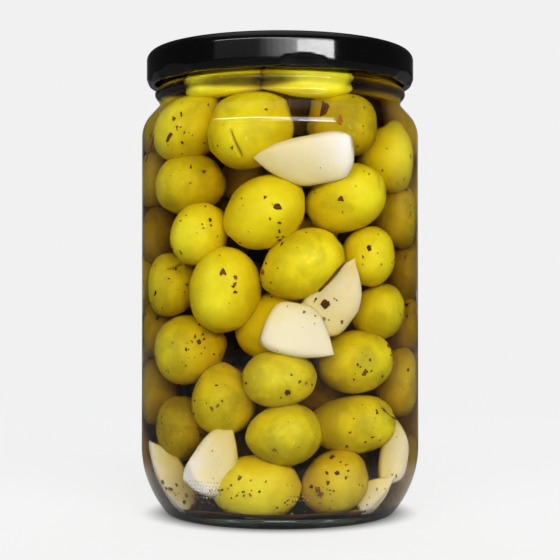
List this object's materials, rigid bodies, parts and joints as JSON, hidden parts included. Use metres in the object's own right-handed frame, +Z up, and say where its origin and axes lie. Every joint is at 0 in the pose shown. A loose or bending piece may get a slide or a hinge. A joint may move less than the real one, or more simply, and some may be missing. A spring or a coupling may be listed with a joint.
{
  "type": "jar of olives",
  "caption": "Sealed glass jar of green olives with garlic cloves and dried herbs in golden oil, closed with a glossy black metal lid.",
  "frame": {"origin": "on the jar's axis, in the plane it stands in", "axes": "+Z up along the jar's axis, from the base to the lid; -Y is the front shown in the picture"},
  "size_m": [0.089, 0.089, 0.148],
  "materials": {
    "glass": "clear, smooth",
    "lacquered_tinplate": "glossy black lacquer",
    "oil": "clear golden oil",
    "olive_flesh": "wet yellow-green olive skin"
  },
  "bodies": {
    "root": {"jar": "glass", "lid": "lacquered_tinplate", "oil": "oil", "olives": "olive_flesh"}
  },
  "joints": []
}
